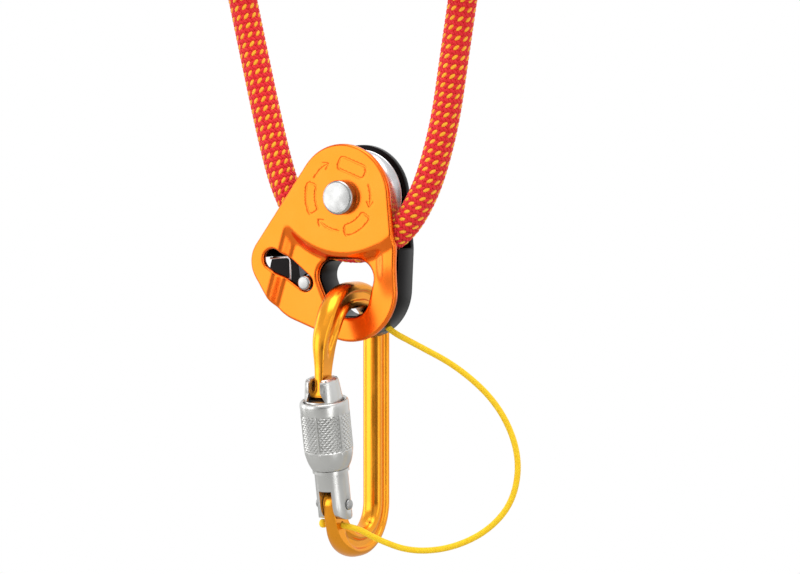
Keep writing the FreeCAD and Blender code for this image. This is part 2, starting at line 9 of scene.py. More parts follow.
# Progress-capture pulley hung in a rope bight, with its locking carabiner and keeper cord.
# Metres in the scene; sizes below are millimetres and go through mm().
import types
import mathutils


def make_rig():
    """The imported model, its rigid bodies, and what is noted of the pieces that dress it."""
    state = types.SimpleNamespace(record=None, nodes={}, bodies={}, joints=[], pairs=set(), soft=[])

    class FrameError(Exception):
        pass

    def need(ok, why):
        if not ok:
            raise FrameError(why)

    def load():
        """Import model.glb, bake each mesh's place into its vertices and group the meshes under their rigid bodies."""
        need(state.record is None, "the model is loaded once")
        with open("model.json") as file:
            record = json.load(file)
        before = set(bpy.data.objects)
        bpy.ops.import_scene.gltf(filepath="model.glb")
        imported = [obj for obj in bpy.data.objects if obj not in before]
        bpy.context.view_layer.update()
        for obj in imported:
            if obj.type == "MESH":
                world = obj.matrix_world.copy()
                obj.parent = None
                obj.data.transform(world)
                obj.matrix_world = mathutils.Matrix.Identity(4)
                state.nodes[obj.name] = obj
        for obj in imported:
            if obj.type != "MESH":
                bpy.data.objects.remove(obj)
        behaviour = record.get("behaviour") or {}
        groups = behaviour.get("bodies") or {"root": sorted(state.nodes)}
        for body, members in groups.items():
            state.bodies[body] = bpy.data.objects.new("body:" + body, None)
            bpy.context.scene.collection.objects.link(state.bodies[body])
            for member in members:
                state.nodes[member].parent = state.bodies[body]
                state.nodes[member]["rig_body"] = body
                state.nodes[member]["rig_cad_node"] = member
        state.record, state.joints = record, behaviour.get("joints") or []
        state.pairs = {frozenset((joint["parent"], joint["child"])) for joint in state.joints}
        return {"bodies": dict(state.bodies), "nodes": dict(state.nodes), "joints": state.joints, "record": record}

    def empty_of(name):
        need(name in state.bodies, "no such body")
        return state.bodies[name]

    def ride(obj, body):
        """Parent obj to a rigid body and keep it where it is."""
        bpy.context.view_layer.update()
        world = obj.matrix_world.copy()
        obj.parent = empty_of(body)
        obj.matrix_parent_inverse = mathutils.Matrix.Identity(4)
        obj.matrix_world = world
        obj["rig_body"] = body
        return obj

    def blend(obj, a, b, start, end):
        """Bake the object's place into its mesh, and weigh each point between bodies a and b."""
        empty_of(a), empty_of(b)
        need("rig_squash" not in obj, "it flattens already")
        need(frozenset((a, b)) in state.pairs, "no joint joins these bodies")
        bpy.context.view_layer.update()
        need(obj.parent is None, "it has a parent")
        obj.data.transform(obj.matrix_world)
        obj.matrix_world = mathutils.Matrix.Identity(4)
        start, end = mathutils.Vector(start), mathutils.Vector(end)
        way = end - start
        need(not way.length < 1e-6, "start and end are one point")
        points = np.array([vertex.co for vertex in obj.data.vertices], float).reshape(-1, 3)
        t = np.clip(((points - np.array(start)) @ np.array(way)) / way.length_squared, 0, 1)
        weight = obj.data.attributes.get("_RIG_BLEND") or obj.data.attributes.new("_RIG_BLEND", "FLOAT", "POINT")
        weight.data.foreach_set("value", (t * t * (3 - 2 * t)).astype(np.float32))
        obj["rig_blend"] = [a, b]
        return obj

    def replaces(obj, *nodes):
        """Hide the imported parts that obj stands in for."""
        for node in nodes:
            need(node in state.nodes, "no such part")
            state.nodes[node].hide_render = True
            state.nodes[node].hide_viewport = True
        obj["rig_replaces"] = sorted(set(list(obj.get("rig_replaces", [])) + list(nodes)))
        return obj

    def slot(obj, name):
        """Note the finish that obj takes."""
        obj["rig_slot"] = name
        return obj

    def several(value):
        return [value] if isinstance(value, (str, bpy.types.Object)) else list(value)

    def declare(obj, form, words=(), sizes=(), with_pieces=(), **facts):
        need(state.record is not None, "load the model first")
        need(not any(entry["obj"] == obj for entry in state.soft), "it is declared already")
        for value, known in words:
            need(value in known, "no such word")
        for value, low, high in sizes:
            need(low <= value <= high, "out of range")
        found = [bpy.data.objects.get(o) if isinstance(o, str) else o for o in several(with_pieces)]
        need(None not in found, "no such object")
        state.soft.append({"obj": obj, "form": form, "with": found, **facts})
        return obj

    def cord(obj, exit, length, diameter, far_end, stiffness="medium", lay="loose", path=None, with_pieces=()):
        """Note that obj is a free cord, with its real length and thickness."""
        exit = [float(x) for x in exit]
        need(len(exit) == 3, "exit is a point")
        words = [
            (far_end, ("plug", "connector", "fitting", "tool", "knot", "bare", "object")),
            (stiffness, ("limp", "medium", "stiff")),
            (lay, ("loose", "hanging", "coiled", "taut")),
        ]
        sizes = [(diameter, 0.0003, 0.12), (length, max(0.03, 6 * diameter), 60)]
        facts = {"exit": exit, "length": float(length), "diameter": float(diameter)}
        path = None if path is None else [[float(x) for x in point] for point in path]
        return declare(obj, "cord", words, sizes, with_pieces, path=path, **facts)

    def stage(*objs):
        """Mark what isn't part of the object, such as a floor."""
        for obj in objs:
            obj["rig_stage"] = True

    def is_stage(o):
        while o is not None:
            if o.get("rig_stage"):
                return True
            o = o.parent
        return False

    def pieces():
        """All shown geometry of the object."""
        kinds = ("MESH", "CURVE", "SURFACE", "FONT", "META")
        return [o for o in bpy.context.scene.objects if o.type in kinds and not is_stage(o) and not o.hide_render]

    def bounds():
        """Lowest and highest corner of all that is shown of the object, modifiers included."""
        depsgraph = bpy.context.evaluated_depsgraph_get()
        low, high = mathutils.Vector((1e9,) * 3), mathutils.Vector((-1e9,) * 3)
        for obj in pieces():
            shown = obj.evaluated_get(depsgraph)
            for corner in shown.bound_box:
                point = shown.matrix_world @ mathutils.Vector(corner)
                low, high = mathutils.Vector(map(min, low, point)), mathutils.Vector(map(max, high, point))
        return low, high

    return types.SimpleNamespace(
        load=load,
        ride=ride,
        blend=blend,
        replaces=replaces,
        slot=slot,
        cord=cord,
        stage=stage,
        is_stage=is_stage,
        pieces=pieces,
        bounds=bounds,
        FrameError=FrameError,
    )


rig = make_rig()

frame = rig.load()
nodes = frame["nodes"]
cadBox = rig.bounds()  # the CAD alone, before any piece is made


def mm(*values):
    return values[0] / 1000 if len(values) == 1 else Vector(v / 1000 for v in values)


def linear(hexColour):  # sRGB hex to linear RGBA
    channels = [int(hexColour[i:i + 2], 16) / 255 for i in (1, 3, 5)]
    return [c / 12.92 if c <= 0.04045 else ((c + 0.055) / 1.055) ** 2.4 for c in channels] + [1]


# An input is a value, a socket, or a node whose first output is wanted.
def addNode(tree, kind, inputs=None, **settings):
    node = tree.nodes.new(kind)
    for name, value in settings.items():
        setattr(node, name, value)
    for key, value in (inputs or {}).items():
        if isinstance(value, bpy.types.Node):
            value = value.outputs[0]
        if isinstance(value, bpy.types.NodeSocket):
            tree.links.new(value, node.inputs[key])
        else:
            node.inputs[key].default_value = value
    return node


def addObject(name, data):
    item = bpy.data.objects.new(name, data)
    bpy.context.scene.collection.objects.link(item)
    return item


# What a curve or a set of modifiers comes out as, kept as a plain mesh.
def plainMesh(carrier):
    bpy.context.view_layer.update()
    return bpy.data.meshes.new_from_object(carrier.evaluated_get(bpy.context.evaluated_depsgraph_get()))


print("camera and light")
view = {"azimuth": 30, "elevation": 3.5, "distance": 1.6, "lens": 187.2, "sensor": 36, "across": 17.81, "up": -34.77}


def addCamera():
    a, e = radians(view["azimuth"]), radians(view["elevation"])
    forward = Vector((-sin(a) * cos(e), cos(a) * cos(e), -sin(e)))
    right = Vector((cos(a), sin(a), 0))
    up = right.cross(forward)
    target = right * mm(view["across"]) + up * mm(view["up"])
    data = bpy.data.cameras.new("camera")
    data.lens, data.sensor_width, data.clip_start = view["lens"], view["sensor"], 0.01
    camera = addObject("camera", data)
    camera.location = target - forward * view["distance"]
    camera.rotation_euler = Matrix((right, up, -forward)).transposed().to_euler()
    bpy.context.scene.camera = camera
    return target


aim = addCamera()

softboxes = [  # name, place, size, power
    ("frontLeft", (-1.2, -1.5, 0.1), (1.2, 1.6), 11),
    ("left", (-1.75, -0.3, 0.2), (0.6, 1.5), 5.5),
    ("frontRight", (1.6, -0.7, 0.2), (0.45, 1.5), 3),
    ("lowRight", (0.86, -0.55, -0.45), (0.4, 0.34), 1.1),
    ("overhead", (0.1, -0.2, 1.5), (1.4, 1.4), 15),
]


def addLights():
    for name, place, size, power in softboxes:
        data = bpy.data.lights.new(name, "AREA")
        data.shape, data.size, data.size_y = "RECTANGLE", *size
        data.energy = power
        lamp = addObject(name, data)
        lamp.location = place
        lamp.rotation_euler = (aim - lamp.location).to_track_quat("-Z", "Y").to_euler()


studio = {"ground": (-0.5, -0.16), "front": (-0.15, 0.1), "frontLevel": 0.8, "darkest": 0.12,
          "standWay": (0.35, -0.9, -0.25), "standEdge": (0.87, 0.97)}


# White tent, greyer under the object and in front of it, with one dark stand low at the front.
def addWorld():
    world = bpy.data.worlds.new("studio")
    bpy.context.scene.world = world
    world.use_nodes = True
    tree = world.node_tree
    tree.nodes.clear()
    way = addNode(tree, "ShaderNodeTexCoord").outputs["Generated"]
    split = addNode(tree, "ShaderNodeSeparateXYZ", {0: way})
    low, high = studio["ground"]
    height = addNode(tree, "ShaderNodeMapRange", {"Value": split.outputs["Z"], "From Min": low, "From Max": high})
    low, high = studio["front"]
    front = addNode(tree, "ShaderNodeMapRange", {"Value": split.outputs["Y"], "From Min": low, "From Max": high,
                                                 "To Min": studio["frontLevel"]})
    towards = addNode(tree, "ShaderNodeVectorMath", {0: way, 1: studio["standWay"]}, operation="DOT_PRODUCT")
    low, high = studio["standEdge"]
    stand = addNode(tree, "ShaderNodeMapRange", {"Value": towards.outputs["Value"], "From Min": low, "From Max": high,
                                                 "To Min": 1.0, "To Max": 0.0})
    shade = addNode(tree, "ShaderNodeMath", {0: height, 1: front}, operation="MULTIPLY")
    shade = addNode(tree, "ShaderNodeMath", {0: shade, 1: stand}, operation="MULTIPLY")
    level = addNode(tree, "ShaderNodeMapRange", {"Value": shade, "To Min": studio["darkest"], "To Max": 1.0})
    light = addNode(tree, "ShaderNodeBackground", {"Color": linear("#FFFFFF"), "Strength": level})
    addNode(tree, "ShaderNodeOutputWorld", {"Surface": light})


addLights()
addWorld()
bpy.context.scene.view_settings.view_transform = "Standard"


# A mesh piece at the origin, from points in metres.
def meshObject(name, vertices, faces, smooth=True):
    mesh = bpy.data.meshes.new(name)
    mesh.from_pydata([tuple(v) for v in vertices], [], [tuple(f) for f in faces])
    mesh.polygons.foreach_set("use_smooth", [smooth] * len(mesh.polygons))
    mesh.update()
    return addObject(name, mesh)


floorDisc = {"radius": 2.4, "below": 0.52, "steps": 96}


def floorPiece():
    turns = [2 * pi * k / floorDisc["steps"] for k in range(floorDisc["steps"])]
    ring = [(floorDisc["radius"] * cos(t), floorDisc["radius"] * sin(t), -floorDisc["below"]) for t in turns]
    piece = meshObject("floor", ring, [range(floorDisc["steps"])], smooth=False)
    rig.stage(piece)
    return piece


print("materials")


def newMaterial(name):
    material = bpy.data.materials.new(name)
    material.use_nodes = True
    tree = material.node_tree
    tree.nodes.clear()
    shader = addNode(tree, "ShaderNodeBsdfPrincipled")
    addNode(tree, "ShaderNodeOutputMaterial", {"Surface": shader})
    return material, tree, shader


def objectPlace(tree):  # Object coordinates in millimetres
    place = addNode(tree, "ShaderNodeTexCoord").outputs["Object"]
    return addNode(tree, "ShaderNodeMapping", {0: place, "Scale": (1000, 1000, 1000)})


# Colour and roughness drift together over the surface, as handling and the finish leave them.
def mottle(tree, shader, pattern, colours, roughness):
    span = {"Value": pattern, "From Min": 0.3, "From Max": 0.7}
    share = addNode(tree, "ShaderNodeMapRange", span)
    rough = addNode(tree, "ShaderNodeMapRange", {**span, "To Min": roughness[0], "To Max": roughness[1]})
    first, second = (linear(colour) for colour in colours)
    mix = addNode(tree, "ShaderNodeMix", {0: share, 6: first, 7: second}, data_type="RGBA")
    tree.links.new(mix.outputs[2], shader.inputs["Base Color"])
    tree.links.new(rough.outputs[0], shader.inputs["Roughness"])


# Anodised aluminium: dyed oxide over metal, so the reflections take the colour.
# Faint clouds, and a bead-blasted grain of blastGrain millimetres that blurs the highlights' edges.
def anodised(name, dark, light, roughness, blastGrain):
    material, tree, shader = newMaterial(name)
    place = objectPlace(tree)
    clouds = addNode(tree, "ShaderNodeTexNoise", {"Vector": place, "Scale": 0.09, "Detail": 3})
    mottle(tree, shader, clouds, (dark, light), (roughness * 0.88, roughness * 1.12))
    grain = addNode(tree, "ShaderNodeTexNoise", {"Vector": place, "Scale": 1 / blastGrain, "Detail": 2})
    relief = addNode(tree, "ShaderNodeBump", {"Height": grain, "Distance": mm(0.004), "Strength": 0.35})
    tree.links.new(relief.outputs[0], shader.inputs["Normal"])
    shader.inputs["Metallic"].default_value = 1
    return material


# Turned or drawn metal: fine rings round an axis, spacing millimetres apart and coarser than real
# tool marks so that they show. They draw the highlight out into streaks.
def turnedMetal(name, colour, dark, roughness, spacing, axis):
    material, tree, shader = newMaterial(name)
    place = objectPlace(tree)
    wear = addNode(tree, "ShaderNodeTexNoise", {"Vector": place, "Scale": 0.25, "Detail": 4})
    mottle(tree, shader, wear, (dark, colour), (roughness * 1.25, roughness * 0.8))
    rings = addNode(tree, "ShaderNodeTexWave", {"Vector": place, "Scale": 0.314 / spacing, "Distortion": 0.6,
                                                "Detail": 2.0}, wave_type="RINGS", rings_direction=axis)
    relief = addNode(tree, "ShaderNodeBump", {"Height": rings.outputs[1], "Distance": mm(0.006), "Strength": 0.3})
    tree.links.new(relief.outputs[0], shader.inputs["Normal"])
    shader.inputs["Metallic"].default_value = 1
    return material


# Orange dye is bright where it faces the light and deep red where it turns away. Gold streaks along the bar,
# silver is undyed and satin, and black keeps only a soft grey sheen along its edges.
orangeAnodised = anodised("orangeAnodisedAluminium", "#F67421", "#FD7C28", 0.24, 0.12)
goldAnodised = anodised("goldAnodisedAluminium", "#F09A28", "#F8A22E", 0.24, 0.3)
satinSilver = anodised("satinSilverAluminium", "#C4C4C2", "#CFCFCD", 0.3, 0.14)
blackAnodised = anodised("blackAnodisedAluminium", "#161415", "#1C1A1A", 0.34, 0.12)
# Bare turned aluminium is the whitest, stainless axle heads a mid grey, ground bearing steel almost a mirror,
# the plated cam dark and dull, and the drawn spring wire bright.
brightTurned = turnedMetal("turnedAluminium", "#E3E4E6", "#CFD0D3", 0.24, 0.45, "Y")
turnedSteel = turnedMetal("turnedStainlessSteel", "#B0B0AF", "#A2A2A1", 0.25, 0.5, "Y")
groundSteel = turnedMetal("groundBearingSteel", "#C9CACC", "#B5B6B8", 0.14, 0.35, "Y")
camSteel = turnedMetal("platedCamSteel", "#55555A", "#3C3C40", 0.4, 0.3, "Y")
springSteel = turnedMetal("drawnSpringWire", "#D6D6D6", "#B9B9BA", 0.2, 0.2, "Y")


# Moulded glass-filled nylon: dull, slightly mottled.
def cageNylon():
    material, tree, shader = newMaterial("mouldedNylon")
    spots = addNode(tree, "ShaderNodeTexNoise", {"Vector": objectPlace(tree), "Scale": 2.5, "Detail": 3})
    mix = addNode(tree, "ShaderNodeMix", {0: spots, 6: linear("#241C14"), 7: linear("#33291E")}, data_type="RGBA")
    relief = addNode(tree, "ShaderNodeBump", {"Height": spots, "Distance": mm(0.01), "Strength": 0.4})
    tree.links.new(mix.outputs[2], shader.inputs["Base Color"])
    tree.links.new(relief.outputs[0], shader.inputs["Normal"])
    shader.inputs["Roughness"].default_value = 0.55
    return material


# Polyamide or polyester sheath yarn: lengthwise filaments and a little fuzz, so it stays matt and soft-edged.
# The braid's yarn attribute picks ground or fleck.
def yarnMaterial(name, groundColours, fleckColours):
    material, tree, shader = newMaterial(name)
    along = addNode(tree, "ShaderNodeAttribute", attribute_name="yarnUV").outputs["Vector"]
    fleck = addNode(tree, "ShaderNodeAttribute", attribute_name="yarn").outputs["Fac"]
    patches = addNode(tree, "ShaderNodeTexNoise", {"Vector": objectPlace(tree), "Scale": 0.8, "Detail": 3})
    share = addNode(tree, "ShaderNodeMapRange", {"Value": patches, "From Min": 0.3, "From Max": 0.7})
    ground, bright = (addNode(tree, "ShaderNodeMix", {0: share, 6: linear(first), 7: linear(second)},
                              data_type="RGBA").outputs[2] for first, second in (groundColours, fleckColours))
    mix = addNode(tree, "ShaderNodeMix", {0: fleck, 6: ground, 7: bright}, data_type="RGBA")
    filaments = addNode(tree, "ShaderNodeTexWave", {"Vector": along, "Scale": 3.2, "Distortion": 1.5, "Detail": 2.0},
                        wave_type="BANDS", bands_direction="X")
    relief = addNode(tree, "ShaderNodeBump", {"Height": filaments.outputs[1], "Distance": mm(0.05), "Strength": 0.5})
    tree.links.new(mix.outputs[2], shader.inputs["Base Color"])
    tree.links.new(relief.outputs[0], shader.inputs["Normal"])
    for socket, value in (("Roughness", 0.62), ("Specular IOR Level", 0.35), ("Sheen Weight", 0.12),
                          ("Sheen Roughness", 0.4)):
        shader.inputs[socket].default_value = value
    return material


# Matt pale paper: no highlight of its own.
def floorMaterial():
    material, tree, shader = newMaterial("paleStudioPaper")
    fibres = addNode(tree, "ShaderNodeTexNoise", {"Vector": objectPlace(tree), "Scale": 0.02, "Detail": 3})
    mix = addNode(tree, "ShaderNodeMix", {0: fibres, 6: linear("#B6B6B4"), 7: linear("#BCBCBA")}, data_type="RGBA")
    tree.links.new(mix.outputs[2], shader.inputs["Base Color"])
    shader.inputs["Roughness"].default_value = 0.9
    return material


nylon = cageNylon()
ropeYarn = yarnMaterial("braidedPolyamideRope", ("#E01822", "#EC2A31"), ("#FFAA1C", "#FFBE30"))
keeperYarn = yarnMaterial("braidedPolyesterCord", ("#FFCC10", "#FFDA22"), ("#FFCC10", "#FFDA22"))
floorPiece().data.materials.append(floorMaterial())


# Gives a CAD node its material, in its object's own slots.
def finish(node, material):
    piece = nodes[node]
    if not piece.material_slots:
        piece.data.materials.append(material)
    for slotItem in piece.material_slots:
        slotItem.link = "OBJECT"
        slotItem.material = material


print("ropes and keeper cord")


# An open NURBS curve on control points in millimetres.
def nurbsLine(name, points):
    data = bpy.data.curves.new(name, "CURVE")
    data.dimensions = "3D"
    data.twist_mode = "MINIMUM"
    spline = data.splines.new("NURBS")
    spline.points.add(len(points) - 1)
    for item, point in zip(spline.points, points):
        item.co = (*mm(*point), 1)
    spline.order_u = 3
    spline.use_endpoint_u = True
    spline.resolution_u = 12
    return data


# Points along a curve, in metres and in order.
def readLine(data):
    carrier = addObject("line", data)
    mesh = plainMesh(carrier)
    line = [v.co.copy() for v in mesh.vertices]
    bpy.data.objects.remove(carrier)
    bpy.data.meshes.remove(mesh)
    return line


def lineLength(line):
    return sum((b - a).length for a, b in zip(line, line[1:]))


# A geometry tree with named inputs. Gives the tree, each input's identifier, and the values inside it.
def newTree(name, inputs):
    tree = bpy.data.node_groups.new(name, "GeometryNodeTree")
    for way in ("INPUT", "OUTPUT"):
        tree.interface.new_socket("Geometry", in_out=way, socket_type="NodeSocketGeometry")
    keys = {}
    for label, kind, value in inputs:
        socket = tree.interface.new_socket(label, in_out="INPUT", socket_type="NodeSocket" + kind)
        socket.default_value = value
        keys[label] = socket.identifier
    return tree, keys, {socket.name: socket for socket in addNode(tree, "NodeGroupInput").outputs}


# Adds sums from rows of name, node, operation and inputs. A text input names an earlier value.
def addSums(tree, values, rows):
    for name, kind, operation, *inputs in rows:
        sockets = {k: values[item] if isinstance(item, str) else item for k, item in enumerate(inputs)}
        values[name] = addNode(tree, kind, sockets, operation=operation).outputs[0]


real, whole = "ShaderNodeMath", "FunctionNodeIntegerMath"


# Joins plain geometry with realised copies, and closes the tree with the material.
def closeTree(tree, base, copies, material):
    joined = addNode(tree, "GeometryNodeJoinGeometry")
    for part in (base, addNode(tree, "GeometryNodeRealizeInstances", {"Geometry": copies}).outputs[0]):
        tree.links.new(part, joined.inputs[0])
    done = addNode(tree, "GeometryNodeSetMaterial", {"Geometry": joined, "Material": material})
    addNode(tree, "NodeGroupOutput", {0: done})


# Twill braid along a curve: rings of short yarn floats, leaning one way and then the other.
def braidTree(name, material):
    tree, keys, values = newTree(name, (
        ("Radius", "Float", 0.0055), ("Ring Pitch", "Float", 0.00175), ("Yarns Round", "Int", 20),
        ("Fleck Every", "Int", 2), ("Float Length", "Float", 0.0026), ("Float Width", "Float", 0.0013),
        ("Float Height", "Float", 0.0009)))
    line = values["Geometry"]
    values["length"] = addNode(tree, "GeometryNodeCurveLength", {0: line}).outputs[0]
    values["index"] = addNode(tree, "GeometryNodeInputIndex").outputs[0]
    addSums(tree, values, (
        ("ringsThatFit", real, "DIVIDE", "length", "Ring Pitch"),
        ("rings", real, "FLOOR", "ringsThatFit"),
        ("count", real, "MULTIPLY", "rings", "Yarns Round"),
        ("ring", whole, "DIVIDE_FLOOR", "index", "Yarns Round"),
        ("column", whole, "MODULO", "index", "Yarns Round"),
        ("kind", whole, "MODULO", "ring", 2),
        ("ringMiddle", real, "ADD", "ring", 0.5),
        ("ringGap", real, "DIVIDE", "length", "rings"),
        ("along", real, "MULTIPLY", "ringMiddle", "ringGap"),
        ("columnMiddle", real, "ADD", "column", 0.25),
        ("stagger", real, "MULTIPLY", "kind", 0.5),
        ("columnPlace", real, "SUBTRACT", "columnMiddle", "stagger"),
        ("turns", real, "MULTIPLY", "columnPlace", 2 * pi),
        ("turn", real, "DIVIDE", "turns", "Yarns Round"),
        ("halfFloat", real, "MULTIPLY", "Float Height", 0.5),
        ("floatRadius", real, "SUBTRACT", "Radius", "halfFloat"),
        ("sunkShare", real, "MULTIPLY", "Float Height", 0.55),
        ("coreRadius", real, "SUBTRACT", "Radius", "sunkShare"),
        ("girth", real, "MULTIPLY", "Radius", 2 * pi),
        ("yarnGap", real, "DIVIDE", "girth", "Yarns Round"),
        ("lean", real, "ARCTAN2", "yarnGap", "Ring Pitch"),
        ("twiceKind", real, "MULTIPLY", "kind", 2.0),
        ("side", real, "SUBTRACT", 1.0, "twiceKind"),
        ("tilt", real, "MULTIPLY", "lean", "side"),
        ("fleckColumn", whole, "MODULO", "column", "Fleck Every")))
    points = addNode(tree, "GeometryNodePoints", {"Count": values["count"], "Radius": 0.001})
    sample = addNode(tree, "GeometryNodeSampleCurve", {"Curves": line, "Length": values["along"]}, mode="LENGTH")
    tangent = sample.outputs["Tangent"]
    spin = addNode(tree, "FunctionNodeAxisAngleToRotation", {"Axis": tangent, "Angle": values["turn"]})
    outward = addNode(tree, "FunctionNodeRotateVector", {0: sample.outputs["Normal"], 1: spin})
    rise = addNode(tree, "ShaderNodeVectorMath", {0: outward, "Scale": values["floatRadius"]}, operation="SCALE")
    place = addNode(tree, "ShaderNodeVectorMath", {0: sample.outputs["Position"], 1: rise}, operation="ADD")
    placed = addNode(tree, "GeometryNodeSetPosition", {"Geometry": points, "Position": place})
    tilt = addNode(tree, "FunctionNodeAxisAngleToRotation", {"Axis": outward, "Angle": values["tilt"]})
    floatWay = addNode(tree, "FunctionNodeRotateVector", {0: tangent, 1: tilt})
    facing = addNode(tree, "FunctionNodeAxesToRotation", {0: outward, 1: floatWay}, primary_axis="Z",
                     secondary_axis="X")
    grain = addNode(tree, "GeometryNodeMeshUVSphere", {"Segments": 10, "Rings": 5, "Radius": 0.5})
    size = addNode(tree, "ShaderNodeCombineXYZ", {
        0: values["Float Length"], 1: values["Float Width"], 2: values["Float Height"]})
    own = addNode(tree, "GeometryNodeInputPosition")
    marked = addNode(tree, "GeometryNodeStoreNamedAttribute", {"Geometry": grain, "Name": "yarnUV", "Value": own},
                     data_type="FLOAT_VECTOR", domain="POINT")
    smooth = addNode(tree, "GeometryNodeSetShadeSmooth", {"Geometry": marked})
    copies = addNode(tree, "GeometryNodeInstanceOnPoints", {
        "Points": placed, "Instance": smooth, "Rotation": facing, "Scale": size})
    evenYarn = addNode(tree, "FunctionNodeCompare", {2: values["fleckColumn"], 3: 0}, data_type="INT",
                       operation="EQUAL")
    fleckRing = addNode(tree, "FunctionNodeCompare", {2: values["kind"], 3: 1}, data_type="INT", operation="EQUAL")
    fleck = addNode(tree, "FunctionNodeBooleanMath", {0: evenYarn, 1: fleckRing}, operation="AND")
    dyed = addNode(tree, "GeometryNodeStoreNamedAttribute", {"Geometry": copies, "Name": "yarn", "Value": fleck},
                   data_type="FLOAT", domain="INSTANCE")
    circle = addNode(tree, "GeometryNodeCurvePrimitiveCircle", {"Resolution": 20, "Radius": values["coreRadius"]})
    coreLine = addNode(tree, "GeometryNodeResampleCurve", {"Curve": line, "Length": 0.0025}, mode="LENGTH")
    core = addNode(tree, "GeometryNodeCurveToMesh", {"Curve": coreLine, "Profile Curve": circle, "Fill Caps": True})
    closeTree(tree, core.outputs[0], dyed, material)
    return tree, keys


# Runs the braid along a curve and keeps it as a plain mesh.
def braided(name, lineData, tree, keys, sizes):
    carrier = addObject(name + "Line", lineData)
    modifier = carrier.modifiers.new("braid", "NODES")
    modifier.node_group = tree
    for label, value in sizes.items():
        modifier[keys[label]] = value
    mesh = plainMesh(carrier)
    bpy.data.objects.remove(carrier)
    return addObject(name, mesh)


rope = {
    "diameter": 11.0,
    "left": [(0, 0, -20), (-8, 0, -20), (-22.1, 0, -12.5), (-29.7, 0, 0.4), (-33.8, 0, 11), (-38.9, 0, 29.5),
             (-44.9, 0, 54), (-50.8, 0, 78.5)],
    "right": [(0, 0, -20), (8, 0, -20), (22.1, 0, -12.5), (30.8, 0, 0.7), (35.9, 0, 13.5), (40.8, 0, 31.5),
              (44.3, 0, 54), (48.4, 0, 78.5)],
    "braid": {"Radius": mm(5.6), "Ring Pitch": mm(1.82), "Yarns Round": 20, "Fleck Every": 2,
              "Float Length": mm(3.0), "Float Width": mm(1.55), "Float Height": mm(1.2)},
    "knotTurns": 2.4, "knotRise": 11.4, "knotRadius": 11.2, "knotFoot": 5.6, "knotSteps": 14,
}
ropeTree, ropeKeys = braidTree("ropeBraid", ropeYarn)


# A stopper knot: up the middle, over the top and down in turns round the standing part.
def knotPoints(leg, handed):
    top = Vector(leg[-1])
    along = (top - Vector(leg[-2])).normalized()
    across = Vector((along.z, 0, -along.x)) * handed
    deep = along.cross(across)
    wraps, rise, radius, steps = (rope["knot" + part] for part in ("Turns", "Rise", "Radius", "Steps"))
    height = rope["knotFoot"] + rise * wraps + 1.5
    path = [top + along * lift for lift in (-3, 3, 12, height - 4, height + 2)]
    for step in range(round(wraps * steps) + 1):
        turn = 2 * pi * step / steps
        lift = height - rise * step / steps + (2.5 if step == 0 else 0)
        reach = radius if step > 1 else radius * (0.55 + 0.25 * step)
        path.append(top + along * lift + (across * cos(turn) + deep * sin(turn)) * reach)
    return [tuple(p) for p in path]


def ropeLeg(side, handed):
    name = "rope" + side.capitalize()
    line = nurbsLine(name, rope[side])
    path = readLine(line)
    leg = braided(name, line, ropeTree, ropeKeys, rope["braid"])
    knot = braided(name + "Knot", nurbsLine(name + "Knot", knotPoints(rope[side], handed)), ropeTree, ropeKeys,
                   rope["braid"])
    for piece, node in ((leg, "rope_" + side), (knot, "rope_knot_" + side)):
        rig.replaces(piece, node)
        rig.slot(piece, "red_rope")
        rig.ride(piece, "root")
    length = lineLength(path)
    print(f"  {name}: {length * 1000:.1f} mm")
    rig.cord(leg, exit=mm(*rope[side][0]), length=round(length, 3), diameter=mm(rope["diameter"]), far_end="knot",
            stiffness="medium", lay="hanging", path=[tuple(p) for p in path], with_pieces=[knot])


ropeLeg("left", 1)
ropeLeg("right", -1)

keeper = {
    "diameter": 2.1,
    "points": [(9.2, 2.4, -46.4), (13.6, 3.4, -51.2), (22.4, 7.4, -56.2), (38.2, 15.4, -65.6), (52, 22, -80),
               (59.2, 25.2, -98.6), (57.9, 23.4, -116), (50.1, 17.9, -127.8), (38, 9.8, -134.8), (25, 1, -136),
               (14.5, -7, -131), (6.6, -12.1, -125.5), (-5.2, -12.13, -125.45)],
    "braid": {"Radius": mm(1.2), "Ring Pitch": mm(0.62), "Yarns Round": 8, "Fleck Every": 2,
              "Float Length": mm(1.2), "Float Width": mm(0.8), "Float Height": mm(0.36)},
}


def keeperCord():
    tree, keys = braidTree("keeperBraid", keeperYarn)
    line = nurbsLine("keeperCord", keeper["points"])
    path = readLine(line)
    piece = braided("keeperCord", line, tree, keys, keeper["braid"])
    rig.replaces(piece, "keeper_cord")
    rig.slot(piece, "yellow_cord")
    length = lineLength(path)
    print(f"  keeperCord: {length * 1000:.1f} mm")
    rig.blend(piece, "root", "carabiner", start=mm(9.2, 2.4, -46.4), end=mm(30, 6, -134))
    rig.cord(piece, exit=mm(*keeper["points"][0]), length=round(length, 3), diameter=mm(keeper["diameter"]),
            far_end="object", stiffness="medium", lay="hanging", path=[tuple(p) for p in path],
            with_pieces=["keeper_knot"])


keeperCord()

print("side plate")


